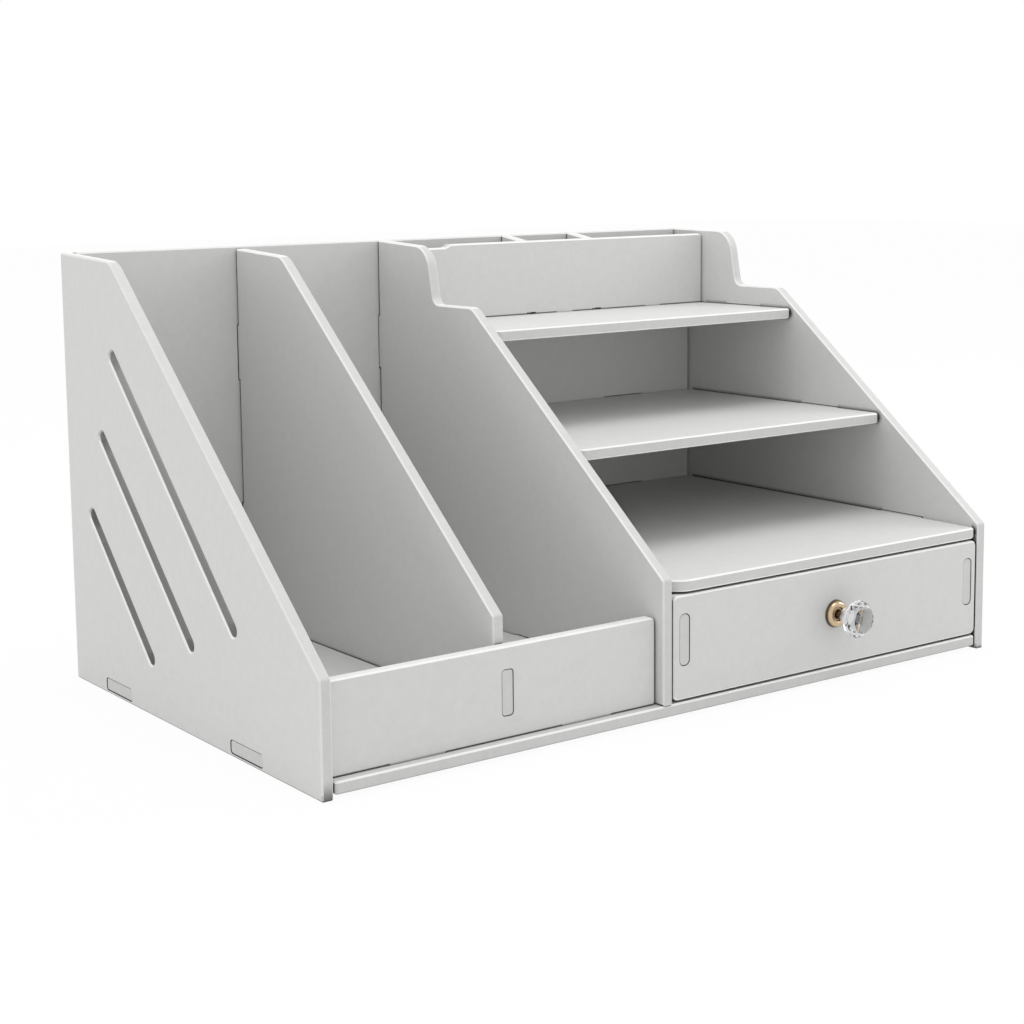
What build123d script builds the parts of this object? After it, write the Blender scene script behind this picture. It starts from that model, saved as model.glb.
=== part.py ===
from build123d import *
import math
import os

# Desktop file shelf with a drawer, in millimetres.
# Working frame: x from the left panel's outer face, y from the panels' front edges
# towards the back, z up from the table. The boards meet with tenons in mortises.

# Board stock and fits
board = 6.0                  # thickness of the boards
arris = 0.8                  # width of the eased arrises along the cut edges
mortise_gap = 0.45           # play around a tenon in its mortise
edge_gap = 0.8               # play between a board's edge and the board beside it
blind_depth = 3.5            # depth of a mortise that doesn't go through
tenon_length = 30.0          # carcass tenon, along its board's edge
tenon_round = 1.5            # rounding of the corners of the tenons on the left and front
tenon_recess = 0.3           # its end, inside the far face of the board that it goes through
tenon_root = 1.0             # how far a tenon is carried into its own board

# Bays, from left to right, between board faces
left_bay = 95.0
right_bay = 87.5
shelf_bay = 224.2

# Overall depth and height, and the base board
depth = 256.0
height = 229.4               # at the rear edges
base_lift = 2.0              # base board's underside above the table
base_corner = 2.0            # plan rounding of the base's front corners
base_tenon_front = 67.0      # front row of tenons, behind the front edges
base_tenon_rear = 53.0       # rear row, in front of the panels' rear edges

# Left side panel and file divider
file_top_length = 59.5       # length of the top, at the back
file_top_fall = 0.05         # how far the tops fall towards the front, per unit of length
file_front_height = 54.0
divider_top_length = 56.0
divider_top_drop = 1.5       # its rear end below the other panels'
divider_front_height = 64.8
file_top_round = 12.0
file_foot_round = 2.0
rear_tenon_low = 70.0        # lower tenons at the back panel, above the table
rear_tenon_high = 59.0       # upper ones, below the panels' tops
file_floor_top = 20.5        # top of the file bays' floor boards, above the table
floor_stagger = 36.0         # right floor's tenons stand this far inside the left floor's

# Slanted slots in the left side panel
slot_count = 3
slot_width = 7.0
slot_top_drop = 51.1         # first slot's upper end, below the panel's rear corner
slot_top_run = 0.4           # and behind the front end of the top
slot_foot_rise = 7.2         # its lower end, above the panel's front corner
slot_foot_run = 76.9         # and behind the front edge
slot_top_step = (15.6, -42.6)    # from one slot's upper end to the next, in y and z
slot_foot_step = (43.5, -15.8)

# Bin front panel
bin_setback = 5.3            # its front face behind the panels' front edges
bin_height = 51.8            # its top above the table
bin_corner = 2.5             # rounding of its top right corner
bin_tenon_foot = 19.0        # the divider's tenon through the bin front
bin_tenon_top = 40.5

# Centre and right panels, which carry the shelves
shelf_front_height = 70.5    # height of their front edges
shoulder_drop = 34.6         # level shoulder, below the panels' rear corners
shoulder_length = 36.2       # from the slope to the foot of the step
step_run = 6.5               # how far the step leans back
step_top_length = 56.5       # top behind the step
centre_top_fall = 0.05       # fall of the centre panel's top, per unit of length
right_top_fall = 0.02
step_outer_round = 14.0
step_inner_round = 6.0
shoulder_round = 9.0

# Shelves, each with its side tenons' middle behind its own front edge
shelf_setback = 2.6          # front edges behind the panels' slope
drawer_shelf_setback = 0.5   # the lowest one's, behind the panels' front edges
drawer_shelf_top = 68.8      # its top face above the table
top_shelf_drop = 12.2        # highest top face, below the shoulder
top_shelf_tenon = 42.0
middle_shelf_tenon = 48.0
drawer_shelf_tenon = 54.0
shelf_end_gap = 1.4          # play between a shelf's ends and the panels
shelf_corner_left = 4.0
shelf_corner_right = 1.5
drawer_shelf_corner_left = 12.0
drawer_shelf_corner_right = 3.0
shelf_back_gap = 8.2         # free space between the shelves' back and the back panel

# Pen box above the top shelf
pen_cell_depth = 20.6
pen_box_drop = 3.0           # its top below the back panel's
pen_cell_side = 83.3         # width of the left cell
pen_cell_middle = 44.5
pen_step_length = 28.0       # lowered stretch at the left end of the front
pen_step_drop = 1.8
pen_step_run = 4.0
pen_corner = 2.0
pen_tenon = 12.0
pen_rear_tenon = 20.0
foot_notch_width = 7.0
foot_notch_height = 1.2

# Drawer
drawer_face = 0.2            # front face behind the panels' front edges
drawer_side_play = 1.0       # each side of the drawer front
drawer_top_play = 1.2
drawer_foot_play = 1.2
drawer_front_corner = 3.0
drawer_slide_play = 0.3      # under the drawer body
drawer_side_inset = 5.0      # drawer side to bay wall
drawer_side_height = 46.5
drawer_back_height = 41.0
drawer_bottom_lift = 3.0     # underside of its bottom board above the sides' feet
drawer_rear_play = 0.5       # behind the drawer when it is shut
drawer_tenon_foot = 26.5     # side tenons through the drawer front
drawer_tenon_top = 52.0
drawer_tenon_round = 2.6
drawer_back_tenon = 20.0
drawer_bottom_tenon = 60.0   # middle of its bottom's side tenons, from either end

# Knob on the drawer front, heights from the drawer's face outwards
knob_rise = 1.4              # above the middle of the drawer front
knob_shift = 0.7             # and to the right of it
screw_radius = 1.5
screw_head_radius = 3.2
screw_head_height = 2.0
screw_head_bevel = 0.8
screw_reach = 6.6            # shank's end beyond the drawer's face
screw_hole_play = 0.3
screw_fit = 0.05             # radial play of the shank in the stem
screw_end_play = 0.3
rose_radius = 7.25
rose_rim = 0.7               # height of the upright rim
rose_crest_radius = 4.7      # ring where the dome is highest
rose_crest_height = 3.4
rose_bands = 3               # flat bands of the dome, from its crest to the rim
rose_hollow_radius = 3.4     # foot of the hollow inside the dome, where the stem stands
rose_seat_height = 1.8
stem_radius = 2.5
stem_cup_radius = 3.8
stem_cup_start = 5.4
stem_cup_rim = 0.5
stem_top = 7.4
spigot_radius = 1.9
spigot_length = 3.6
spigot_play = 0.15
crystal_radius = 10.4
crystal_back = 4.4           # radius of the small rear table
crystal_table = 6.8          # radius of the front table
crystal_girdle = 15.8        # height of the widest ring
crystal_top = 20.0
crystal_facets = 8           # main facets round the front, and round the back
star_inset = 0.2             # how far the facets between them cut inside the widest ring
star_slope = 0.9             # their slope as a share of the main facets'
girdle_inset = 0.6           # the same for the small facets beside the widest ring
girdle_slope = 0.5

# Worked-out places
divider_x = board + left_bay
centre_x = divider_x + board + right_bay
bay_left = centre_x + board
bay_right = bay_left + shelf_bay
width = bay_right + board
base_top = base_lift + board
back_front = depth - board
shelf_back_front = back_front - shelf_back_gap - board
pen_back_face = back_front - pen_cell_depth
pen_front_face = pen_back_face - board
pen_box_top = height - pen_box_drop
file_top_front = depth - file_top_length
divider_top_front = depth - divider_top_length
bin_back = bin_setback + board
step_top_y = depth - step_top_length
step_foot_y = step_top_y - step_run
shoulder_front = step_foot_y - shoulder_length
shoulder_height = height - shoulder_drop
top_shelf_top = shoulder_height - top_shelf_drop
middle_shelf_top = (drawer_shelf_top + top_shelf_top) / 2
drawer_underside = base_top + drawer_slide_play
drawer_bottom_foot = drawer_underside + drawer_bottom_lift
drawer_left = bay_left + drawer_side_inset
drawer_right = bay_right - drawer_side_inset
drawer_inner_face = drawer_face + board
drawer_rear = shelf_back_front - drawer_rear_play
drawer_front_foot = base_top + drawer_foot_play
drawer_front_top = drawer_shelf_top - board - drawer_top_play
knob_x = (bay_left + bay_right) / 2 + knob_shift
knob_z = (drawer_front_foot + drawer_front_top) / 2 + knob_rise
knob_axis = Plane(origin=(knob_x, drawer_face, knob_z), x_dir=(1, 0, 0), z_dir=(0, -1, 0)).location
knob_reach = crystal_top - drawer_face
pen_divider_left_x = bay_left + pen_cell_side
pen_divider_right_x = pen_divider_left_x + board + pen_cell_middle
bay_middles = (board + left_bay / 2, divider_x + board + right_bay / 2)
bay_quarters = (bay_left + shelf_bay / 4, bay_right - shelf_bay / 4)


def outline(points, radii):
    """A closed outline of straight runs with rounded corners, as a face."""
    return make_face(FilletPolyline(*points, radius=radii, close=True))


def ease(solid, axis):
    """Takes the sharpness off the cut edges of the two broad faces that look along axis."""
    faces = solid.faces().sort_by(axis)
    return chamfer(faces[0].edges() + faces[-1].edges(), arris)


def standing_across(points, radii, x):
    """A board that stands fore and aft: a y-z outline, from x to x plus the board."""
    face = Plane.YZ.offset(x) * outline(points, radii)
    return extrude(face, board)


def standing_facing(points, radii, y):
    """A board that faces the front: an x-z outline, from y to y plus the board."""
    face = Plane.XZ.offset(-y) * outline(points, radii)
    return extrude(face, -board)


def lying(points, radii, z):
    """A level board: an x-y outline, from z to z plus the board."""
    face = Plane.XY.offset(z) * outline(points, radii)
    return extrude(face, board)


def rectangle(low, high):
    return [(low[0], low[1]), (high[0], low[1]), (high[0], high[1]), (low[0], high[1])]


def block(low, high):
    size = [b - a for a, b in zip(low, high)]
    middle = [(a + b) / 2 for a, b in zip(low, high)]
    return Pos(*middle) * Box(*size)


def tongue(low, high, axis, corner):
    """A tenon along axis, with its four long edges rounded unless corner is none."""
    solid = block(low, high)
    return fillet(solid.edges().filter_by(axis), corner) if corner else solid


def socket(low, high, axis, corner):
    """The mortise round a tongue: wider all round by the mortise gap, and longer at both ends."""
    along = (Axis.X, Axis.Y, Axis.Z).index(axis)
    grow = [mortise_gap] * 3
    grow[along] = edge_gap
    wide_low = [value - extra for value, extra in zip(low, grow)]
    wide_high = [value + extra for value, extra in zip(high, grow)]
    return tongue(wide_low, wide_high, axis, corner + mortise_gap if corner else None)


# Upright panels that stand fore and aft

def make_left_side_panel():
    top_front = height - file_top_fall * file_top_length
    points = [(0, 0), (depth, 0), (depth, height), (file_top_front, top_front), (0, file_front_height)]
    panel = standing_across(points, [arris, arris, arris, file_top_round, file_foot_round], 0)
    for step in range(slot_count):
        top = Vector(file_top_front + slot_top_run, height - slot_top_drop) + step * Vector(*slot_top_step)
        foot = Vector(slot_foot_run, file_front_height + slot_foot_rise) + step * Vector(*slot_foot_step)
        middle = (top + foot) / 2
        slot = SlotCenterPoint(middle, top, slot_width)
        panel -= extrude(Plane.YZ * slot, board)
    return ease(panel, Axis.X)


def make_file_divider():
    front = bin_back + edge_gap
    rear = back_front - edge_gap
    top_rear = height - divider_top_drop
    top_front = top_rear - file_top_fall * divider_top_length
    points = [
        (front, base_top), (rear, base_top), (rear, top_rear),
        (divider_top_front, top_front), (front, divider_front_height),
    ]
    panel = standing_across(points, [0, 0, arris, file_top_round, file_foot_round], divider_x)
    return ease(panel, Axis.X)


def shelf_panel_outline(foot, rear, fall):
    points = [
        (0, foot), (rear, foot), (rear, height), (step_top_y, height - fall * step_top_length),
        (step_foot_y, shoulder_height), (shoulder_front, shoulder_height), (0, shelf_front_height),
    ]
    radii = [0, 0, arris, step_outer_round, step_inner_round, shoulder_round, file_foot_round]
    return points, radii


def make_centre_panel():
    points, radii = shelf_panel_outline(base_top, back_front - edge_gap, centre_top_fall)
    return ease(standing_across(points, radii, centre_x), Axis.X)


def make_right_side_panel():
    points, radii = shelf_panel_outline(0, depth, right_top_fall)
    return ease(standing_across(points, radii, bay_right), Axis.X)


# Panels that face the front

def make_back_panel():
    points = rectangle((board + edge_gap, 0), (bay_right - edge_gap, height))
    return ease(standing_facing(points, [0, 0, 0, 0], back_front), Axis.Y)


def make_bin_front_panel():
    points = rectangle((board + edge_gap, base_top), (centre_x - edge_gap, bin_height))
    panel = standing_facing(points, [0, 0, bin_corner, arris], bin_setback)
    return ease(panel, Axis.Y)


def make_shelf_back_panel():
    points = rectangle((bay_left + edge_gap, base_top), (bay_right - edge_gap, top_shelf_top - board))
    return ease(standing_facing(points, [0, 0, 0, 0], shelf_back_front), Axis.Y)


def make_pen_box_front():
    left = bay_left + edge_gap
    right = bay_right - edge_gap
    step_end = bay_left + pen_step_length
    step_top = pen_box_top - pen_step_drop
    points = [
        (left, top_shelf_top), (right, top_shelf_top), (right, pen_box_top),
        (step_end, pen_box_top), (step_end - pen_step_run, step_top), (left, step_top),
    ]
    radii = [0, 0, pen_corner, pen_corner, pen_corner, pen_corner]
    panel = ease(standing_facing(points, radii, pen_front_face), Axis.Y)
    for divider in (pen_divider_left_x, pen_divider_right_x):
        low_x = divider + board / 2 - foot_notch_width / 2
        notch = block(
            (low_x, pen_front_face, top_shelf_top),
            (low_x + foot_notch_width, pen_front_face + board, top_shelf_top + foot_notch_height),
        )
        panel -= notch
    return panel


def make_pen_divider(x):
    """A divider whose top rises from the box front's top to the back panel's."""
    front = pen_back_face + edge_gap
    rear = back_front - edge_gap
    points = [(front, top_shelf_top), (rear, top_shelf_top), (rear, height), (front, pen_box_top)]
    return ease(standing_across(points, [0, 0, arris, arris], x), Axis.X)


# Level boards

def make_base_panel():
    points = rectangle((board + edge_gap, 0), (bay_right - edge_gap, back_front - edge_gap))
    return ease(lying(points, [base_corner, base_corner, 0, 0], base_lift), Axis.Z)


def make_file_floor(left, right):
    points = rectangle((left + edge_gap, bin_back + edge_gap), (right - edge_gap, back_front - edge_gap))
    return ease(lying(points, [0, 0, 0, 0], file_floor_top - board), Axis.Z)


def slope_y(z):
    """Where the shelf panels' slope is at height z."""
    return shoulder_front * (z - shelf_front_height) / (shoulder_height - shelf_front_height)


def make_shelf(front, rear, top, left_corner, right_corner):
    points = rectangle((bay_left + shelf_end_gap, front), (bay_right - shelf_end_gap, rear))
    return ease(lying(points, [left_corner, right_corner, 0, 0], top - board), Axis.Z)


# Drawer boards

def make_drawer_front():
    points = rectangle(
        (bay_left + drawer_side_play, drawer_front_foot),
        (bay_right - drawer_side_play, drawer_front_top),
    )
    panel = ease(standing_facing(points, [drawer_front_corner] * 4, drawer_face), Axis.Y)
    return panel - knob_axis * Cylinder(screw_radius + screw_hole_play, 3 * board)


def make_drawer_side(x):
    front = drawer_inner_face + edge_gap
    points = rectangle((front, drawer_underside), (drawer_rear, drawer_underside + drawer_side_height))
    return ease(standing_across(points, [0, 0, arris, arris], x), Axis.X)


def make_drawer_back():
    low = (drawer_left + board + edge_gap, drawer_underside)
    high = (drawer_right - board - edge_gap, drawer_underside + drawer_back_height)
    return ease(standing_facing(rectangle(low, high), [0, 0, 0, 0], drawer_rear - 2 * board), Axis.Y)


def make_drawer_bottom():
    low = (drawer_left + board + edge_gap, drawer_inner_face + edge_gap)
    high = (drawer_right - board - edge_gap, drawer_rear - 2 * board - edge_gap)
    return ease(lying(rectangle(low, high), [0, 0, 0, 0], drawer_bottom_foot), Axis.Z)


# Knob, built upright on its axis and then laid to point out of the drawer front

def turned(edges):
    """A turned piece: the closed half-section in x-z is spun about z."""
    return revolve(make_face(edges), Axis.Z)


def make_knob_rose():
    hole = screw_radius + screw_hole_play
    run = rose_radius - rose_crest_radius
    rise = rose_crest_height - rose_rim
    turns = [step * math.pi / 2 / rose_bands for step in range(rose_bands + 1)]
    dome = [(rose_radius - run * (1 - math.cos(turn)), rose_rim + rise * math.sin(turn)) for turn in turns]
    with BuildLine(Plane.XZ) as section:
        Polyline(
            (hole, 0), (rose_radius, 0), *dome, (rose_hollow_radius, rose_seat_height),
            (hole, rose_seat_height), (hole, 0),
        )
    return knob_axis * turned(section.line)


def make_knob_stem():
    bore = screw_radius + screw_fit
    bore_end = screw_reach + screw_end_play
    spigot_end = stem_top + spigot_length
    with BuildLine(Plane.XZ) as section:
        Polyline(
            (bore, rose_seat_height), (stem_radius, rose_seat_height), (stem_radius, stem_cup_start),
            (stem_cup_radius, stem_top - stem_cup_rim), (stem_cup_radius, stem_top),
            (spigot_radius, stem_top), (spigot_radius, spigot_end), (0, spigot_end),
            (0, bore_end), (bore, bore_end), (bore, rose_seat_height),
        )
    return knob_axis * turned(section.line)


def facet_cone(sides, turn, girdle, widening):
    """A tapered prism whose flats cut one ring of facets; widening is per unit of height."""
    foot_radius = girdle - widening * (crystal_girdle - stem_top)
    top_radius = girdle + widening * (crystal_top - crystal_girdle)
    foot = RegularPolygon(foot_radius, sides, major_radius=False, rotation=turn)
    top = RegularPolygon(top_radius, sides, major_radius=False, rotation=turn)
    return loft([Pos(0, 0, stem_top) * foot, Pos(0, 0, crystal_top) * top])


def make_knob_crystal():
    back_widening = (crystal_radius - crystal_back) / (crystal_girdle - stem_top)
    front_widening = -(crystal_radius - crystal_table) / (crystal_top - crystal_girdle)
    stone = Pos(0, 0, (stem_top + crystal_top) / 2) * Cylinder(crystal_radius, crystal_top - stem_top)
    half_turn = 180 / crystal_facets
    rings = (
        (crystal_facets, 0, 0, 1),
        (crystal_facets, half_turn, star_inset, star_slope),
        (2 * crystal_facets, half_turn / 2, girdle_inset, girdle_slope),
    )
    for sides, turn, inset, share in rings:
        for widening in (back_widening, front_widening):
            stone &= facet_cone(sides, turn, crystal_radius - inset, widening * share)
    bore_depth = spigot_length + spigot_play
    bore = Pos(0, 0, stem_top + bore_depth / 2) * Cylinder(spigot_radius + spigot_play, bore_depth)
    return knob_axis * (stone - bore)


def make_knob_screw():
    inner = -board
    shank = Pos(0, 0, (inner + screw_reach) / 2) * Cylinder(screw_radius, screw_reach - inner)
    head = Pos(0, 0, inner - screw_head_height / 2) * Cylinder(screw_head_radius, screw_head_height)
    return knob_axis * (shank + chamfer(head.edges().sort_by(Axis.Z)[:1], screw_head_bevel))


top_shelf_front = slope_y(top_shelf_top) + shelf_setback
middle_shelf_front = slope_y(middle_shelf_top) + shelf_setback

pieces = {
    "left_side_panel": make_left_side_panel(),
    "file_divider": make_file_divider(),
    "centre_panel": make_centre_panel(),
    "right_side_panel": make_right_side_panel(),
    "back_panel": make_back_panel(),
    "base_panel": make_base_panel(),
    "bin_front_panel": make_bin_front_panel(),
    "file_floor_left": make_file_floor(board, divider_x),
    "file_floor_right": make_file_floor(divider_x + board, centre_x),
    "pen_box_front": make_pen_box_front(),
    "pen_divider_left": make_pen_divider(pen_divider_left_x),
    "pen_divider_right": make_pen_divider(pen_divider_right_x),
    "top_shelf": make_shelf(
        top_shelf_front, back_front - edge_gap, top_shelf_top, shelf_corner_left, shelf_corner_right
    ),
    "middle_shelf": make_shelf(
        middle_shelf_front, shelf_back_front - edge_gap, middle_shelf_top,
        shelf_corner_left, shelf_corner_right
    ),
    "drawer_top_shelf": make_shelf(
        drawer_shelf_setback, shelf_back_front - edge_gap, drawer_shelf_top,
        drawer_shelf_corner_left, drawer_shelf_corner_right
    ),
    "shelf_back_panel": make_shelf_back_panel(),
    "drawer_front": make_drawer_front(),
    "drawer_left_side": make_drawer_side(drawer_left),
    "drawer_right_side": make_drawer_side(drawer_right - board),
    "drawer_back": make_drawer_back(),
    "drawer_bottom": make_drawer_bottom(),
    "knob_rose": make_knob_rose(),
    "knob_stem": make_knob_stem(),
    "knob_crystal": make_knob_crystal(),
    "knob_screw": make_knob_screw(),
}

# Tenons and their mortises. A through tenon ends just inside the far face.

through = board - tenon_recess
blind = blind_depth - edge_gap


def join(tenon, mortise, axis, face, out, reach, low, high, corner=None):
    """Gives the board tenon a tongue and the board mortise its socket.

    face is the near face of the mortised board along axis, out is the way the tongue
    points, and low and high are the tongue's corners in the other two directions."""
    index = (Axis.X, Axis.Y, Axis.Z).index(axis)
    ends = sorted((face - out * (edge_gap + tenon_root), face + out * reach))
    low, high = list(low), list(high)
    low.insert(index, ends[0])
    high.insert(index, ends[1])
    pieces[tenon] += tongue(low, high, axis, corner)
    pieces[mortise] -= socket(low, high, axis, corner)


def span(centre, length):
    return centre - length / 2, centre + length / 2


def join_base():
    for y in (base_tenon_front, depth - base_tenon_rear):
        front, rear = span(y, tenon_length)
        low, high = (front, base_lift), (rear, base_top)
        join("base_panel", "left_side_panel", Axis.X, board, -1, through, low, high, tenon_round)
        join("base_panel", "right_side_panel", Axis.X, bay_right, 1, through, low, high)
        for upright, x in (("file_divider", divider_x), ("centre_panel", centre_x)):
            low, high = (x, front), (x + board, rear)
            join(upright, "base_panel", Axis.Z, base_top, -1, through, low, high)
    for x in bay_middles + bay_quarters:
        left, right = span(x, tenon_length)
        low, high = (left, base_lift), (right, base_top)
        join("base_panel", "back_panel", Axis.Y, back_front, 1, through, low, high)


def join_file_bays():
    for x in bay_middles:
        left, right = span(x, tenon_length)
        low, high = (left, bin_setback), (right, bin_back)
        join("bin_front_panel", "base_panel", Axis.Z, base_top, -1, through, low, high)
    low, high = (divider_x, bin_tenon_foot), (divider_x + board, bin_tenon_top)
    join("file_divider", "bin_front_panel", Axis.Y, bin_back, -1, through, low, high, tenon_round)
    floor_foot = file_floor_top - board
    rows = (base_tenon_front, depth - base_tenon_rear)
    for y in rows:
        front, rear = span(y, tenon_length)
        low, high = (front, floor_foot), (rear, file_floor_top)
        join("file_floor_left", "left_side_panel", Axis.X, board, -1, blind, low, high)
        join("file_floor_left", "file_divider", Axis.X, divider_x, 1, blind, low, high)
    for y in (rows[0] + floor_stagger, rows[1] - floor_stagger):
        front, rear = span(y, tenon_length)
        low, high = (front, floor_foot), (rear, file_floor_top)
        join("file_floor_right", "file_divider", Axis.X, divider_x + board, -1, blind, low, high)
        join("file_floor_right", "centre_panel", Axis.X, centre_x, 1, blind, low, high)
    for z in (rear_tenon_low, height - rear_tenon_high):
        foot, top = span(z, tenon_length)
        for upright, x in (("file_divider", divider_x), ("centre_panel", centre_x)):
            low, high = (x, foot), (x + board, top)
            join(upright, "back_panel", Axis.Y, back_front, 1, through, low, high)
        low, high = (back_front, foot), (depth, top)
        join("back_panel", "left_side_panel", Axis.X, board, -1, blind, low, high)
        join("back_panel", "right_side_panel", Axis.X, bay_right, 1, blind, low, high)


def join_shelves():
    top_y = top_shelf_front + top_shelf_tenon
    middle_y = middle_shelf_front + middle_shelf_tenon
    drawer_shelf_y = drawer_shelf_setback + drawer_shelf_tenon
    shelves = (
        ("top_shelf", top_shelf_top, top_y, "back_panel", back_front),
        ("middle_shelf", middle_shelf_top, middle_y, "shelf_back_panel", shelf_back_front),
        ("drawer_top_shelf", drawer_shelf_top, drawer_shelf_y, "shelf_back_panel", shelf_back_front),
    )
    for shelf, top, y, back, back_face in shelves:
        front, rear = span(y, tenon_length)
        low, high = (front, top - board), (rear, top)
        join(shelf, "centre_panel", Axis.X, bay_left, -1, blind, low, high)
        join(shelf, "right_side_panel", Axis.X, bay_right, 1, through, low, high)
        for x in bay_quarters:
            left, right = span(x, tenon_length)
            low, high = (left, top - board), (right, top)
            join(shelf, back, Axis.Y, back_face, 1, through, low, high)
    rear_face = shelf_back_front + board
    for x in bay_quarters:
        left, right = span(x, tenon_length)
        low, high = (left, shelf_back_front), (right, rear_face)
        join("shelf_back_panel", "base_panel", Axis.Z, base_top, -1, through, low, high)
        join("shelf_back_panel", "top_shelf", Axis.Z, top_shelf_top - board, 1, blind, low, high)


def join_pen_box():
    cells = (
        (bay_left, pen_divider_left_x),
        (pen_divider_left_x + board, pen_divider_right_x),
        (pen_divider_right_x + board, bay_right),
    )
    for cell_left, cell_right in cells:
        left, right = span((cell_left + cell_right) / 2, pen_tenon)
        low, high = (left, pen_front_face), (right, pen_back_face)
        join("pen_box_front", "top_shelf", Axis.Z, top_shelf_top, -1, through, low, high)
    foot, top = span((top_shelf_top + pen_box_top) / 2, pen_rear_tenon)
    front, rear = span((pen_back_face + back_front) / 2, pen_tenon)
    for divider, x in (("pen_divider_left", pen_divider_left_x), ("pen_divider_right", pen_divider_right_x)):
        low, high = (x, front), (x + board, rear)
        join(divider, "top_shelf", Axis.Z, top_shelf_top, -1, through, low, high)
        low, high = (x, foot), (x + board, top)
        join(divider, "back_panel", Axis.Y, back_front, 1, through, low, high)


def join_drawer():
    drawer_back_front = drawer_rear - 2 * board
    left_face = drawer_left + board
    right_face = drawer_right - board
    bottom_top = drawer_bottom_foot + board
    for side, x in (("drawer_left_side", drawer_left), ("drawer_right_side", right_face)):
        low, high = (x, drawer_tenon_foot), (x + board, drawer_tenon_top)
        join(side, "drawer_front", Axis.Y, drawer_inner_face, -1, through, low, high, drawer_tenon_round)
    foot, top = span(drawer_underside + drawer_back_height / 2, drawer_back_tenon)
    low, high = (drawer_back_front, foot), (drawer_back_front + board, top)
    join("drawer_back", "drawer_left_side", Axis.X, left_face, -1, through, low, high)
    join("drawer_back", "drawer_right_side", Axis.X, right_face, 1, through, low, high)
    for y in (drawer_inner_face + drawer_bottom_tenon, drawer_back_front - drawer_bottom_tenon):
        front, rear = span(y, tenon_length)
        low, high = (front, drawer_bottom_foot), (rear, bottom_top)
        join("drawer_bottom", "drawer_left_side", Axis.X, left_face, -1, through, low, high)
        join("drawer_bottom", "drawer_right_side", Axis.X, right_face, 1, through, low, high)
    for x in bay_quarters:
        left, right = span(x, tenon_length)
        low, high = (left, drawer_bottom_foot), (right, bottom_top)
        join("drawer_bottom", "drawer_front", Axis.Y, drawer_inner_face, -1, blind, low, high)
        join("drawer_bottom", "drawer_back", Axis.Y, drawer_back_front, 1, through, low, high)


join_base()
join_file_bays()
join_shelves()
join_pen_box()
join_drawer()

# The part's own frame has its origin on the table, under the middle of the whole
# outline, knob included, with y towards the back.
to_frame = Pos(-width / 2, -(depth - knob_reach) / 2, 0)

os.makedirs("parts", exist_ok=True)
for name, piece in pieces.items():
    export_step(to_frame * piece, f"parts/{name}.step")
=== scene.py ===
import math

import bmesh
import bpy
import numpy as np
from mathutils import Matrix, Vector


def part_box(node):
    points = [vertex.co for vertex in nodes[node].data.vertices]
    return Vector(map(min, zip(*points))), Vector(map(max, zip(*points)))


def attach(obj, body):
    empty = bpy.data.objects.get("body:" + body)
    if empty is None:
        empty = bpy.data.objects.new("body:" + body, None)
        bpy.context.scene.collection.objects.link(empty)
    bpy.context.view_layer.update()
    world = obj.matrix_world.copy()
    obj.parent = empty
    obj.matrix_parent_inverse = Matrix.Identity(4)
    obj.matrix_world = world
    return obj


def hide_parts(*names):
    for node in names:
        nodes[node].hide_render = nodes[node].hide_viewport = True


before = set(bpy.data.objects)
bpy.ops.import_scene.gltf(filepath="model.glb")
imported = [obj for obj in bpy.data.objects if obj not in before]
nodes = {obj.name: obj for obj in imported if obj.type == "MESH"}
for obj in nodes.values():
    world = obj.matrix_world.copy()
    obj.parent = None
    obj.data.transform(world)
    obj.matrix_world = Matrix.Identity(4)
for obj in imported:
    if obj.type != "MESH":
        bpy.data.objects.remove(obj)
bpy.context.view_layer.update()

# small helpers for node trees

def newMaterial(name):
    material = bpy.data.materials.new(name)
    material.use_nodes = True
    tree = material.node_tree
    return material, tree, tree.nodes["Principled BSDF"]


def setInputs(tree, node, inputs):
    # inputs: socket name or number -> a value, or an output socket to link
    for key, value in inputs.items():
        if isinstance(value, bpy.types.NodeSocket):
            tree.links.new(value, node.inputs[key])
        else:
            node.inputs[key].default_value = value


def addNode(tree, kind, inputs, **settings):
    node = tree.nodes.new(kind)
    for key, value in settings.items():
        setattr(node, key, value)
    setInputs(tree, node, inputs)
    return node


def addMath(tree, operation, first, second=0.0, clamp=False):
    inputs = {0: first, 1: second}
    return addNode(tree, "ShaderNodeMath", inputs, operation=operation, use_clamp=clamp).outputs[0]


def addMix(tree, factor, first, second):
    # from the first colour at 0 to the second at 1
    inputs = {0: factor, 6: first, 7: second}
    return addNode(tree, "ShaderNodeMix", inputs, data_type="RGBA").outputs[2]


def addBlend(tree, factor, first, second):
    # the same for numbers
    return addNode(tree, "ShaderNodeMix", {0: factor, 2: first, 3: second}).outputs[0]


def addRange(tree, value, limits, low=0.0, high=1.0, way="SMOOTHSTEP"):
    # low at the first limit, high at the second
    inputs = {"Value": value, "From Min": limits[0], "From Max": limits[1], "To Min": low, "To Max": high}
    return addNode(tree, "ShaderNodeMapRange", inputs, interpolation_type=way).outputs[0]


def addBetween(tree, value, limits):
    # 1 between the limits, else 0
    above = addMath(tree, "GREATER_THAN", value, limits[0])
    return addMath(tree, "MULTIPLY", above, addMath(tree, "LESS_THAN", value, limits[1]))


def addNoise(tree, place, size, detail, roughness=0.5):
    inputs = {"Vector": place, "Scale": size, "Detail": detail, "Roughness": roughness}
    return addNode(tree, "ShaderNodeTexNoise", inputs).outputs[0]


def addBump(tree, shader, pattern, strength, relief):
    bump = addNode(tree, "ShaderNodeBump", {"Height": pattern, "Strength": strength, "Distance": relief})
    tree.links.new(bump.outputs[0], shader.inputs["Normal"])


# white foamed board

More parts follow.
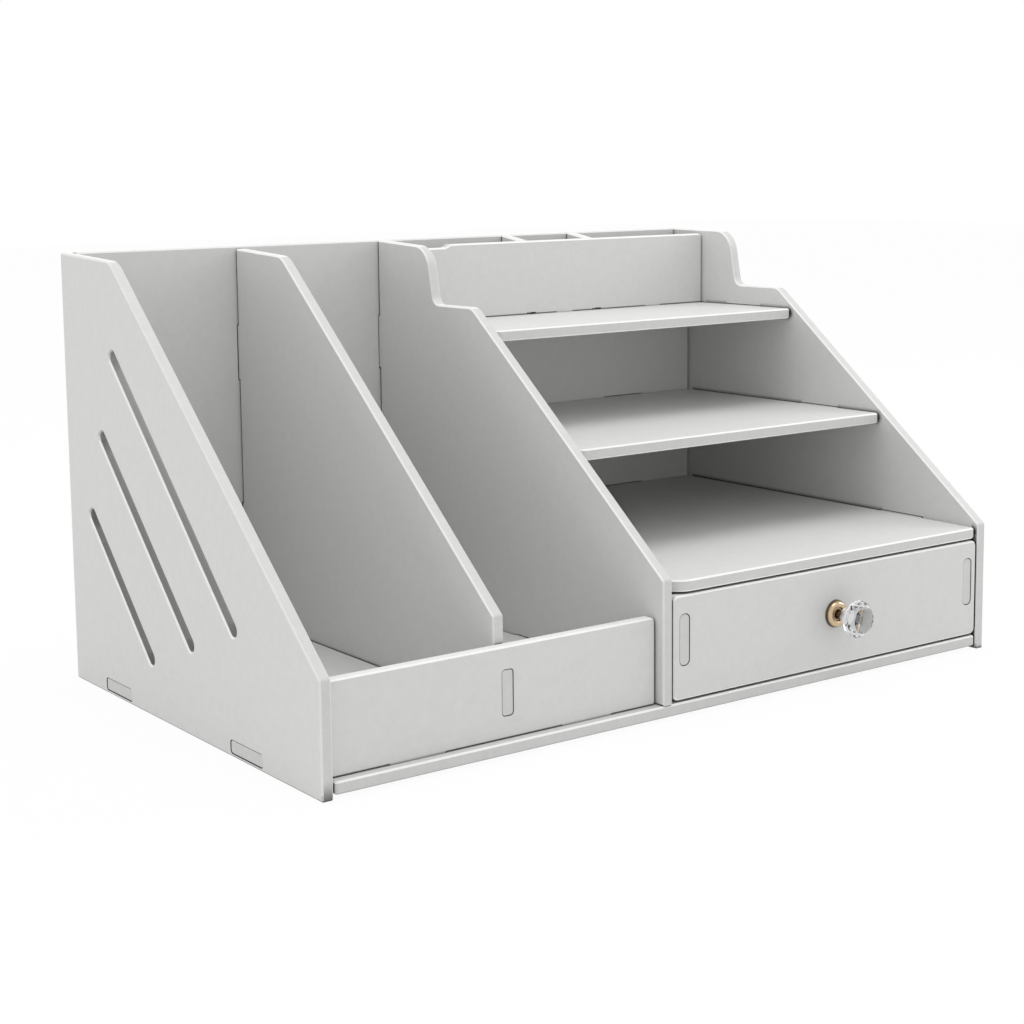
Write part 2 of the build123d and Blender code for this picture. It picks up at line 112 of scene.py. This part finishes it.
boardFinish = {
    "thickness": 0.006,
    "color": (0.635, 0.635, 0.625, 1),
    "roughness": 0.55,
    "faceFrom": 0.9,                         # share of the normal along the thin way, on a face at least
    "cutTo": 0.3,                            # and on a cut edge at most, and the eased edges lie between
    "levelFrom": 0.95,                       # rise of the normal, from which an edge lies level
    # eased edges: painted highlight and shade, by the way they face
    "arrisUpHighlight": (0.82, 0.82, 0.81, 1),
    "arrisSideHighlight": (0.70, 0.70, 0.69, 1),
    "arrisDownHighlight": (0.95, 0.95, 0.94, 1),
    "arrisTurn": (0.1, 0.5),                 # rise or fall of the normal, over which the tone changes
    "footShadeColor": (0.50, 0.50, 0.495, 1),     # painted shade on eased edges that stand on the table
    "footHeight": 0.003,
    # cut edges
    "cutGain": 0.88,                         # tone against the faces
    "levelHighlightGain": 1.15,                       # and of those that lie level, lighter as a painted highlight from above
    "cutSize": 900.0,                        # saw marks per metre along the edge
    "cutStretch": 6,                         # and how much longer they are across it
    "cutDetail": 2.0,
    "cutShade": 0.08,
    "notchShadeColor": (0.01, 0.01, 0.01, 1),     # painted shade on the top shelf's top, seen through the notches under the pen box front
    # slots: painted shade inside them
    "slotShadeColor": (0.14, 0.14, 0.135, 1),     # painted shade on cut edges deep inside
    "slotTopShadeColor": (0.27, 0.27, 0.26, 1),   # and at the upper ends, where more light comes in
    "slotHeights": (0.07, 0.17),             # metres, from the one tone to the other
    "slotReach": 0.010,
    "slotOpen": (0.62, 0.97),
    "slotArrisHighlight": (0.95, 0.95, 0.94, 1),      # painted highlight on eased edges in the slots that look up
    "slotArrisOpen": (0.90, 0.98),
    # the foam's skin
    "skinSize": 420.0,                       # grains per metre
    "skinDetail": 3.0,
    "skinRoughness": 0.6,
    "skinShade": 0.065,
    "skinBump": (0.5, 0.00002),              # strength, and relief in metres
    "cloudSize": 200.0,                      # soft blotches per metre
    "cloudDetail": 2.0,
    "cloudShade": 0.075,
}

skySamples = 8        # rays that look for near surfaces

jointShades = {
    # painted shade between boards: how far from a spot near surfaces shade it, in metres, and the share of
    # open sky
    # where the shade is darkest and where it ends
    "tight": {"color": (0.09, 0.09, 0.09, 1), "reach": 0.0015, "open": (0.46, 0.74)},
    "dark": {"color": (0.02, 0.02, 0.02, 1), "reach": 0.0018, "open": (0.46, 0.74)},
    "foot": {"color": (0.32, 0.32, 0.315, 1), "reach": 0.0025, "open": (0.62, 0.70)},
    "faint": {"color": (0.42, 0.42, 0.41, 1), "reach": 0.0015, "open": (0.46, 0.74)},
    "wide": {"color": (0.008, 0.008, 0.008, 1), "reach": 0.0035, "open": (0.50, 0.84)},
}

shelfTenons = {
    # metres behind each shelf's front edge, between which its end is closed
    "top_shelf": (0.027, 0.057),
    "middle_shelf": (0.033, 0.063),
    "drawer_top_shelf": (0.004, 0.069),
}

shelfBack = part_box("shelf_back_panel")
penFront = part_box("pen_box_front")


def closedStretches(reach):
    # depths and heights where the right panel's joints are closed: the corners with the shelves' back
    # and the pen box front, and the shelves' tenons
    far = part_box("back_panel")[1]
    stretches = [
        ((shelfBack[0].y - reach, far.y), (0, shelfBack[1].z - boardFinish["thickness"])),
        ((penFront[0].y - reach, far.y), (penFront[0].z + boardFinish["thickness"], far.z)),
    ]
    for shelf, (start, end) in shelfTenons.items():
        front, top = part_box(shelf)[0].y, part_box(shelf)[1].z
        stretches.append(((front + start, front + end), (top - reach, top + reach)))
    return stretches


def openSky(tree, reach, limits):
    # 0 where near surfaces shut a spot in, 1 where it lies open
    sky = addNode(tree, "ShaderNodeAmbientOcclusion", {"Distance": reach}, samples=skySamples).outputs["AO"]
    return addRange(tree, sky, limits, way="LINEAR")


def surfaceKinds(tree, normal, thinAxis):
    # 1 or 0 for an eased edge, for a cut edge, and for a surface that lies level
    facing = addMath(tree, "ABSOLUTE", normal.outputs[thinAxis])
    notFace = addMath(tree, "LESS_THAN", facing, boardFinish["faceFrom"])
    notCut = addMath(tree, "GREATER_THAN", facing, boardFinish["cutTo"])
    arris = addMath(tree, "MULTIPLY", notFace, notCut)
    cut = addMath(tree, "SUBTRACT", 1.0, notCut)
    level = addMath(tree, "GREATER_THAN", normal.outputs[2], boardFinish["levelFrom"])
    return arris, cut, level


def boardGain(tree, place, thinAxis, cut, level, skin):
    # tone against the plain board: 1 and what skin and blotches add, times the cut edges' gain and saw marks
    finish = boardFinish
    cloud = addNoise(tree, place, finish["cloudSize"], finish["cloudDetail"])
    gain = 1.0
    for pattern, shade in ((skin, finish["skinShade"]), (cloud, finish["cloudShade"])):
        swing = addMath(tree, "SUBTRACT", pattern, 0.5)
        gain = addMath(tree, "ADD", gain, addMath(tree, "MULTIPLY", swing, shade))
    stretch = [finish["cutSize"]] * 3
    stretch[thinAxis] = finish["cutSize"] / finish["cutStretch"]
    marks = addNode(tree, "ShaderNodeMapping", {"Vector": place, "Scale": stretch}).outputs[0]
    saw = addNoise(tree, marks, 1.0, finish["cutDetail"])
    # painted highlight: cut edges that lie level are lighter
    cutGain = addBlend(tree, level, finish["cutGain"], finish["levelHighlightGain"])
    sawn = addMath(tree, "ADD", cutGain, addMath(tree, "MULTIPLY", saw, finish["cutShade"]))
    return addMath(tree, "MULTIPLY", gain, addBlend(tree, cut, 1.0, sawn))


def makeBoardMaterial(name, thinAxis, jointShade, slotted=False, arrisUpHighlight=None, shadedNotchDepths=None, closed=()):
    # thinAxis is the board's thin way, 0, 1 or 2. shadedNotchDepths are the depths between which its top
    # shows in the notches and gets painted shade, and closed the stretches (depths, heights) where its
    # joints have no shade
    finish = boardFinish
    material, tree, shader = newMaterial(name)
    texture = addNode(tree, "ShaderNodeTexCoord", {})
    place = texture.outputs["Object"]
    spot = addNode(tree, "ShaderNodeSeparateXYZ", {0: place})
    depth, height = spot.outputs[1], spot.outputs[2]
    normal = addNode(tree, "ShaderNodeSeparateXYZ", {0: texture.outputs["Normal"]})
    rising = normal.outputs[2]
    arris, cut, level = surfaceKinds(tree, normal, thinAxis)
    skin = addNoise(tree, place, finish["skinSize"], finish["skinDetail"], finish["skinRoughness"])
    gain = boardGain(tree, place, thinAxis, cut, level, skin)

    # painted highlight and shade on the eased edges by the way they face, and painted shade on those at the
    # table
    arrisUpHighlight = arrisUpHighlight or finish["arrisUpHighlight"]
    # in the slots, eased edges that face down take the slots' painted shade, and those that look up a
    # painted highlight
    if slotted:
        falling = addMath(tree, "LESS_THAN", rising, -finish["arrisTurn"][0])
        under = addMath(tree, "MULTIPLY", arris, falling)
        arris = addMath(tree, "SUBTRACT", arris, under)
        aside = openSky(tree, finish["slotReach"], finish["slotArrisOpen"])
        arrisUpHighlight = addMix(tree, aside, finish["slotArrisHighlight"], arrisUpHighlight)
    eased = addMix(tree, addRange(tree, rising, finish["arrisTurn"]), finish["arrisSideHighlight"], arrisUpHighlight)
    fall = [-rise for rise in finish["arrisTurn"]]
    eased = addMix(tree, addRange(tree, rising, fall), eased, finish["arrisDownHighlight"])
    low = addMath(tree, "LESS_THAN", height, finish["footHeight"])
    eased = addMix(tree, low, eased, finish["footShadeColor"])
    plain = addMix(tree, arris, finish["color"], eased)
    tone = addNode(tree, "ShaderNodeVectorMath", {0: plain, "Scale": gain}, operation="SCALE").outputs[0]

    # painted shade on the top shelf's top under the pen box front's notches
    if shadedNotchDepths:
        inside = addMath(tree, "MULTIPLY", addBetween(tree, depth, shadedNotchDepths), level)
        tone = addMix(tree, inside, tone, finish["notchShadeColor"])
    # painted shade on cut edges and on downward eased edges inside the slots, darker low down
    if slotted:
        wide = openSky(tree, finish["slotReach"], finish["slotOpen"])
        shut = addMath(tree, "ADD", cut, under)
        slotShadeMask = addMath(tree, "MULTIPLY", shut, addMath(tree, "SUBTRACT", 1.0, wide))
        rise = addRange(tree, height, finish["slotHeights"])
        tone = addMix(tree, slotShadeMask, tone, addMix(tree, rise, finish["slotShadeColor"], finish["slotTopShadeColor"]))
    # painted shade where near surfaces shut a spot in, at the joints between boards
    clear = openSky(tree, jointShade["reach"], jointShade["open"])
    for depths, heights in closed:
        there = addMath(tree, "MULTIPLY", addBetween(tree, depth, depths), addBetween(tree, height, heights))
        clear = addMath(tree, "MAXIMUM", clear, there)
    tone = addMix(tree, clear, jointShade["color"], tone)

    setInputs(tree, shader, {"Base Color": tone, "Roughness": finish["roughness"]})
    addBump(tree, shader, skin, *finish["skinBump"])
    return material


# the knob

knobShape = {
    # metres, radii from the knob's axis and heights from the drawer's face
    "steps": 96,
    "screwHole": 0.0018, "rose": 0.00725, "rim": 0.0007, "rimRound": 0.0002,
    "crest": 0.0047, "crestHeight": 0.0034, "hollow": 0.0034, "seat": 0.0018,
    "bore": 0.00155, "boreEnd": 0.0069, "stemFoot": 0.0026, "waist": 0.0021, "cup": 0.0038,
    "cupStart": 0.0045, "cupRim": 0.0005, "stemTop": 0.0074, "spigot": 0.0019, "spigotEnd": 0.011,
    "girdle": 0.0158, "girdleReach": 0.0004, "girdleEdge": 0.0004, "girdleSegments": 2,
    "sharpFrom": 40,         # degrees between faces
    "facetWithin": 1,        # degrees between the triangles of one facet
    "weld": 1e-7, "stoneWeld": 1e-6,
}

knobFinish = {
    "brass": (0.60, 0.46, 0.30, 1),
    "brassRoughness": 0.2,
    "rimAndHollowShade": (0.13, 0.10, 0.065, 1),       # painted shade and dark reflection, low on the rim and in the hollow
    "hollowShare": 0.3,                      # share of the plain brass tone that the hollow keeps under its painted shade
    "rimShadeHeights": (0.0006, 0.0015),          # heights above the drawer's face, darkest and where it ends
    "hollowShadeRadii": (0.0026, 0.0048),       # the same from the knob's axis
    "stainSize": 350.0,                      # per metre
    "stainDetail": 3.0,
    "stainShade": 0.3,
    "stem": (0.50, 0.46, 0.39, 1),
    "stemStart": (0.0030, 0.0038),           # heights between which the hollow's painted shade ends on the stem
    "stemAside": 0.0001,                     # and how far beside the stem it ends at the latest
    "spigot": (0.60, 0.60, 0.61, 1),         # cement round the stem's end, inside the crystal
    "steel": (0.55, 0.55, 0.56, 1),
    "steelRoughness": 0.3,
    "steelGrain": (900.0, 2.0),              # grains per metre, and detail
    "steelBump": (0.3, 0.00002),             # strength, and relief in metres
    "crystal": (0.94, 0.95, 0.96, 1),
    "crystalRoughness": 0.01,
    "crystalIndex": 1.52,
    "crystalShadeTint": (0.46, 0.46, 0.47, 1),    # painted shade: a grey tint on the flat at its front and on its back, for the darker view through them
    "crystalFlat": -0.97,                    # turn of the normal to the rear, on that flat at most
    "crystalBack": 0.2,                      # and on its back at least
    "crystalEdge": (0.97, 0.97, 0.97, 1),    # ground edge of its widest ring
    "edgeRoughness": 0.3,
    "edgeTransmission": 0.3,
    "edgeGrain": (2500.0, 1.0),
    "edgeBump": (0.2, 0.00002),
}

roseLow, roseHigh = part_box("knob_rose")
knobAxis = Vector(((roseLow.x + roseHigh.x) / 2, roseHigh.y, (roseLow.z + roseHigh.z) / 2))
stemHeight = roseHigh.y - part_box("knob_crystal")[1].y


def makeBrass():
    finish = knobFinish
    material, tree, shader = newMaterial("paleBrass")
    place = addNode(tree, "ShaderNodeTexCoord", {}).outputs["Object"]
    fromAxis = {0: place, 1: tuple(knobAxis)}
    away = addNode(tree, "ShaderNodeVectorMath", fromAxis, operation="SUBTRACT").outputs[0]
    depth = addNode(tree, "ShaderNodeSeparateXYZ", {0: away}).outputs[1]
    height = addMath(tree, "MULTIPLY", depth, -1.0)
    across = addNode(tree, "ShaderNodeVectorMath", {0: away, 1: (1, 0, 1)}, operation="MULTIPLY").outputs[0]
    radius = addNode(tree, "ShaderNodeVectorMath", {0: across}, operation="LENGTH").outputs["Value"]

    # painted shade and dark reflection low on the rim and in the hollow near the axis, with random stains on
    # top
    aboveRim = addRange(tree, height, finish["rimShadeHeights"])
    besideHollow = addRange(tree, radius, finish["hollowShadeRadii"], finish["hollowShare"])
    stain = addNoise(tree, place, finish["stainSize"], finish["stainDetail"])
    swing = addMath(tree, "MULTIPLY", addMath(tree, "SUBTRACT", stain, 0.5), finish["stainShade"])
    unshadedUnstained = addMath(tree, "MULTIPLY", aboveRim, besideHollow)
    unshadedUnstained = addMath(tree, "ADD", unshadedUnstained, swing, clamp=True)
    tone = addMix(tree, unshadedUnstained, finish["rimAndHollowShade"], finish["brass"])

    aboveHollow = addRange(tree, height, finish["stemStart"])
    besideStem = addMath(tree, "LESS_THAN", radius, knobShape["cup"] + finish["stemAside"])
    tone = addMix(tree, addMath(tree, "MULTIPLY", aboveHollow, besideStem), tone, finish["stem"])
    inCrystal = addMath(tree, "GREATER_THAN", height, stemHeight)
    tone = addMix(tree, inCrystal, tone, finish["spigot"])
    setInputs(tree, shader, {"Base Color": tone, "Metallic": 1, "Roughness": finish["brassRoughness"]})
    return material


def makeSteel():
    finish = knobFinish
    material, tree, shader = newMaterial("platedSteel")
    place = addNode(tree, "ShaderNodeTexCoord", {}).outputs["Object"]
    addBump(tree, shader, addNoise(tree, place, *finish["steelGrain"]), *finish["steelBump"])
    setInputs(tree, shader, {
        "Base Color": finish["steel"], "Metallic": 1, "Roughness": finish["steelRoughness"],
    })
    return material


def makeCrystal():
    finish = knobFinish
    material, tree, shader = newMaterial("clearCrystal")
    normal = addNode(tree, "ShaderNodeTexCoord", {}).outputs["Normal"]
    turn = addNode(tree, "ShaderNodeSeparateXYZ", {0: normal}).outputs[1]
    # painted shade: the front flat and the back are tinted grey
    front = addMath(tree, "LESS_THAN", turn, finish["crystalFlat"])
    rear = addMath(tree, "GREATER_THAN", turn, finish["crystalBack"])
    shadedFacets = addMath(tree, "MAXIMUM", front, rear)
    setInputs(tree, shader, {
        "Base Color": addMix(tree, shadedFacets, finish["crystal"], finish["crystalShadeTint"]),
        "Transmission Weight": 1, "Roughness": finish["crystalRoughness"], "IOR": finish["crystalIndex"],
    })
    return material


def makeCrystalEdge():
    finish = knobFinish
    material, tree, shader = newMaterial("groundCrystal")
    place = addNode(tree, "ShaderNodeTexCoord", {}).outputs["Object"]
    addBump(tree, shader, addNoise(tree, place, *finish["edgeGrain"]), *finish["edgeBump"])
    setInputs(tree, shader, {
        "Base Color": finish["crystalEdge"],
        "Transmission Weight": finish["edgeTransmission"], "Roughness": finish["edgeRoughness"],
    })
    return material


boards = [makeBoardMaterial("foamBoard" + "XYZ"[axis], axis, jointShades["tight"]) for axis in range(3)]
faintBoard = makeBoardMaterial("foamBoardFaint", 1, jointShades["faint"])
brass = makeBrass()
crystal = makeCrystal()
ownMaterials = {
    "left_side_panel": makeBoardMaterial(
        "foamBoardSlotted", 0, jointShades["dark"], slotted=True, arrisUpHighlight=boardFinish["arrisSideHighlight"],
    ),
    "right_side_panel": makeBoardMaterial(
        "foamBoardRight", 0, jointShades["wide"], closed=closedStretches(jointShades["wide"]["reach"]),
    ),
    "file_divider": makeBoardMaterial("foamBoardDivider", 0, jointShades["dark"]),
    "centre_panel": makeBoardMaterial("foamBoardCentre", 0, jointShades["faint"]),
    "back_panel": makeBoardMaterial(
        "foamBoardBack", 1, jointShades["tight"], arrisUpHighlight=boardFinish["arrisSideHighlight"],
    ),
    "top_shelf": makeBoardMaterial(
        "foamBoardTopShelf", 2, jointShades["tight"], shadedNotchDepths=(penFront[0].y, penFront[1].y),
    ),
    "pen_box_front": faintBoard,
    "shelf_back_panel": faintBoard,
    "bin_front_panel": makeBoardMaterial("foamBoardFoot", 1, jointShades["foot"]),
    "knob_rose": brass,
    "knob_stem": brass,
    "knob_crystal": crystal,
    "knob_screw": makeSteel(),
}

for name, part in nodes.items():
    low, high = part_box(name)
    thin = min(range(3), key=lambda axis: high[axis] - low[axis])
    part.data.materials.clear()
    part.data.materials.append(ownMaterials.get(name) or boards[thin])
print("materials done")

# the knob's own pieces

def addPiece(name, mesh, node, material):
    piece = bpy.data.objects.new(name, mesh)
    bpy.context.collection.objects.link(piece)
    mesh.materials.clear()
    mesh.materials.append(material)
    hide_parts(node)
    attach(piece, "drawer")
    return piece


def turnMesh(name, profile):
    # a closed half-section (radius, height) carried round the knob's axis:
    # x = radius times cosine, z = radius times sine, y = the drawer's face less the height
    radius, height = np.array(profile).T
    angle = np.linspace(0, 2 * np.pi, knobShape["steps"], endpoint=False)[:, None]
    points = np.stack((
        knobAxis.x + radius * np.cos(angle),
        knobAxis.y - height + 0 * angle,
        knobAxis.z + radius * np.sin(angle),
    ), axis=-1)
    index = np.arange(points[..., 0].size).reshape(points.shape[:2])
    nextAngle = np.roll(index, -1, axis=0)
    corners = (index, nextAngle, np.roll(nextAngle, -1, axis=1), np.roll(index, -1, axis=1))
    quads = np.stack(corners, axis=-1).reshape(-1, 4)
    mesh = bpy.data.meshes.new(name)
    mesh.from_pydata(points.reshape(-1, 3).tolist(), [], quads.tolist())
    shape = bmesh.new()
    shape.from_mesh(mesh)
    bmesh.ops.remove_doubles(shape, verts=shape.verts, dist=knobShape["weld"])
    bmesh.ops.recalc_face_normals(shape, faces=shape.faces)
    shape.to_mesh(mesh)
    shape.free()
    mesh.shade_smooth()
    mesh.set_sharp_from_angle(angle=math.radians(knobShape["sharpFrom"]))
    return mesh


def arc(centre, wide, tall, start, end, steps=12):
    # an ellipse's stretch between two angles in quarter turns: centre plus (wide cosine, tall sine)
    turn = np.linspace(start, end, steps + 1) * np.pi / 2
    points = np.stack((centre[0] + wide * np.cos(turn), centre[1] + tall * np.sin(turn)), axis=-1)
    return points.tolist()


def makeRose():
    # its half-section is a flat back, a rim with a rounded edge, a quarter ellipse up to the crest,
    # another down into the hollow, and the hollow's flat floor
    k = knobShape
    rimCentre = (k["rose"] - k["rimRound"], k["rim"] - k["rimRound"])
    domeWide = k["rose"] - 2 * k["rimRound"] - k["crest"]
    profile = [(k["screwHole"], 0), (k["rose"], 0)]
    profile += arc(rimCentre, k["rimRound"], k["rimRound"], 0, 1, 4)
    profile += arc((k["crest"], k["rim"]), domeWide, k["crestHeight"] - k["rim"], 0, 1)
    profile += arc((k["crest"], k["seat"]), k["crest"] - k["hollow"], k["crestHeight"] - k["seat"], 1, 2)[1:]
    profile.append((k["screwHole"], k["seat"]))
    addPiece("knobRose", turnMesh("knobRose", profile), "knob_rose", brass)


def makeStem():
    # its side is a waist between two quarter ellipses, from the foot up to the cup that holds the crystal
    k = knobShape
    footSize = (k["stemFoot"] - k["waist"], k["cupStart"] - k["seat"])
    cupSize = (k["cup"] - k["waist"], k["stemTop"] - k["cupRim"] - k["cupStart"])
    profile = [(k["bore"], k["seat"]), (k["stemFoot"], k["seat"])]
    profile += arc((k["stemFoot"], k["cupStart"]), *footSize, 3, 2)[1:]
    profile += arc((k["cup"], k["cupStart"]), *cupSize, 2, 1)[1:]
    profile += [(k["cup"], k["stemTop"]), (k["spigot"], k["stemTop"]), (k["spigot"], k["spigotEnd"])]
    profile += [(0, k["spigotEnd"]), (0, k["boreEnd"]), (k["bore"], k["boreEnd"])]
    addPiece("knobStem", turnMesh("knobStem", profile), "knob_stem", brass)


def makeStone():
    # the cut stone, with the edges of its widest ring ground, so that they catch the light
    k = knobShape
    mesh = nodes["knob_crystal"].data.copy()
    mesh.name = "knobStone"
    shape = bmesh.new()
    shape.from_mesh(mesh)
    bmesh.ops.remove_doubles(shape, verts=shape.verts, dist=k["stoneWeld"])
    within = math.radians(k["facetWithin"])
    bmesh.ops.dissolve_limit(shape, angle_limit=within, verts=shape.verts, edges=shape.edges)
    weight = shape.edges.layers.float.new("bevel_weight_edge")
    for edge in shape.edges:
        heights = [knobAxis.y - corner.co.y for corner in edge.verts]
        if all(abs(height - k["girdle"]) < k["girdleReach"] for height in heights):
            edge[weight] = 1.0
    shape.to_mesh(mesh)
    shape.free()
    stone = addPiece("knobStone", mesh, "knob_crystal", crystal)
    mesh.materials.append(makeCrystalEdge())
    edge = stone.modifiers.new("girdleEdge", "BEVEL")
    edge.width = k["girdleEdge"]
    edge.segments = k["girdleSegments"]
    edge.limit_method = "WEIGHT"
    edge.material = 1


makeRose()
makeStem()
makeStone()
print("knob done")

# stage and lights

stage = {
    "floorWidth": 12.0,
    "floorColor": (0.8, 0.8, 0.8, 1),
    "floorRoughness": 0.9,
    "background": 1.0,             # 1 is white
    "shadowShare": 0.05,           # how much of the lit floor shows, the rest is plain white
    "worldStrength": 0.90,
    "lampTarget": (0, 0, 0.1),
}

lamps = {
    # name: place and size in metres, power in watts
    "overhead": {"place": (0.0, 0.0, 1.9), "size": 1.2, "power": 10.0},
    "right": {"place": (1.7, -0.3, 0.9), "size": 1.0, "power": 7.9},
    "leftLow": {"place": (-1.8, 0.1, 0.35), "size": 0.8, "power": 2.1},
}

white = (1, 1, 1, 1)


def isSeen(tree):
    # 1 for the rays that the camera sees, also through and in the knob, 0 for those that light other things
    rays = addNode(tree, "ShaderNodeLightPath", {})
    seen = rays.outputs["Is Camera Ray"]
    for kind in ("Is Glossy Ray", "Is Transmission Ray"):
        seen = addMath(tree, "MAXIMUM", seen, rays.outputs[kind])
    return seen


def makeFloor():
    half = stage["floorWidth"] / 2
    mesh = bpy.data.meshes.new("floor")
    corners = [(-half, -half, 0), (half, -half, 0), (half, half, 0), (-half, half, 0)]
    mesh.from_pydata(corners, [], [(0, 1, 2, 3)])
    floor = bpy.data.objects.new("floor", mesh)
    bpy.context.collection.objects.link(floor)
    material, tree, shader = newMaterial("floorWhite")
    setInputs(tree, shader, {"Base Color": stage["floorColor"], "Roughness": stage["floorRoughness"]})
    share = addMath(tree, "MULTIPLY", isSeen(tree), 1 - stage["shadowShare"])
    glow = addNode(tree, "ShaderNodeEmission", {"Color": white, "Strength": stage["background"]})
    mix = addNode(tree, "ShaderNodeMixShader", {0: share, 1: shader.outputs[0], 2: glow.outputs[0]})
    tree.links.new(mix.outputs[0], tree.nodes["Material Output"].inputs["Surface"])
    mesh.materials.append(material)


def makeWorld():
    world = bpy.data.worlds.new("studio")
    world.use_nodes = True
    tree = world.node_tree
    tree.nodes.clear()
    dim, bright = (
        addNode(tree, "ShaderNodeBackground", {"Color": white, "Strength": stage[strength]}).outputs[0]
        for strength in ("worldStrength", "background")
    )
    mix = addNode(tree, "ShaderNodeMixShader", {0: isSeen(tree), 1: dim, 2: bright})
    addNode(tree, "ShaderNodeOutputWorld", {"Surface": mix.outputs[0]})
    bpy.context.scene.world = world


def makeLamp(name, place, size, power):
    data = bpy.data.lights.new(name, "AREA")
    data.shape = "DISK"
    data.size = size
    data.energy = power
    lamp = bpy.data.objects.new(name, data)
    lamp.location = place
    aim = Vector(stage["lampTarget"]) - Vector(place)
    lamp.rotation_euler = aim.to_track_quat("-Z", "Y").to_euler()
    bpy.context.collection.objects.link(lamp)


makeFloor()
makeWorld()
for name, lamp in lamps.items():
    makeLamp(name, **lamp)
print("stage done")

# camera, fitted to the straight edges of the object

cameraFit = {
    "yaw": -34.458, "pitch": 7.507, "roll": -0.918,                # degrees
    "fromLeft": -0.3975, "fromFront": -0.6708, "height": 0.2701,   # metres from the left front corner
    "focal": 1873.9, "centre": (436.4, 415.7), "image": 1024,      # pixels
    "sensor": 36,                                                  # millimetres
    "clip": (0.05, 50),
}


def makeCamera():
    data = bpy.data.cameras.new("camera")
    camera = bpy.data.objects.new("camera", data)
    bpy.context.collection.objects.link(camera)
    yaw, pitch, roll = (math.radians(cameraFit[k]) for k in ("yaw", "pitch", "roll"))
    forward = Vector((-math.sin(yaw) * math.cos(pitch), math.cos(yaw) * math.cos(pitch), -math.sin(pitch)))
    right = Vector((math.cos(yaw), math.sin(yaw), 0))
    up = right.cross(forward)
    right, up = (
        math.cos(roll) * right + math.sin(roll) * up,
        math.cos(roll) * up - math.sin(roll) * right,
    )
    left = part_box("left_side_panel")[0]
    place = Vector((left.x + cameraFit["fromLeft"], left.y + cameraFit["fromFront"], cameraFit["height"]))
    turn = Matrix((right, up, -forward)).transposed().to_4x4()
    camera.matrix_world = Matrix.Translation(place) @ turn
    image = cameraFit["image"]
    data.sensor_width = cameraFit["sensor"]
    data.lens = cameraFit["focal"] * data.sensor_width / image
    data.shift_x = (image / 2 - cameraFit["centre"][0]) / image
    data.shift_y = (cameraFit["centre"][1] - image / 2) / image
    data.clip_start, data.clip_end = cameraFit["clip"]
    bpy.context.scene.camera = camera


makeCamera()
bpy.context.scene.view_settings.view_transform = "Standard"
print("camera done")
